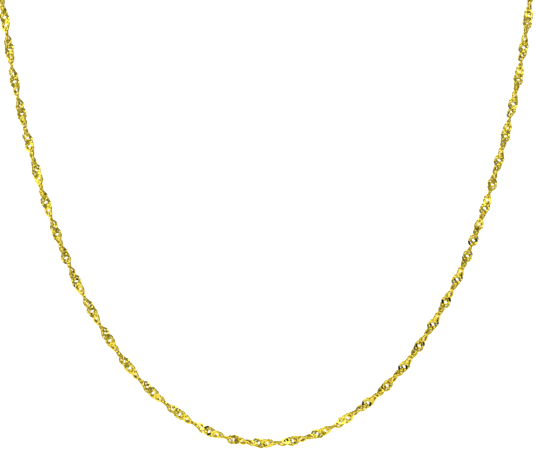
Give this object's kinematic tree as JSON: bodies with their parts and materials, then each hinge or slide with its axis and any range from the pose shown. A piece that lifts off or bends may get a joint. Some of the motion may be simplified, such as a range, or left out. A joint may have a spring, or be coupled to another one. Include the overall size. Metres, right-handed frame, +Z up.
{
  "type": "singapore chain necklace",
  "caption": "Fine yellow gold neck chain of small round links twisted into a ribbon, worn as a long U and closed at the nape by a ring clasp.",
  "frame": {"origin": "middle of the clasp at the nape, on the side that lies against the neck", "axes": "+Z up, -Y toward the front of the neck where the chain hangs lowest, +X to the wearer's left"},
  "size_m": [0.1014, 0.1155, 0.1223],
  "materials": {
    "chain_gold": "polished and diamond-cut yellow gold",
    "clasp_gold": "polished yellow gold",
    "ring_gold": "polished yellow gold"
  },
  "bodies": {
    "root": {"chain": "chain_gold", "clasp": "clasp_gold", "clasp_link": "ring_gold", "end_ring": "ring_gold"}
  },
  "joints": []
}
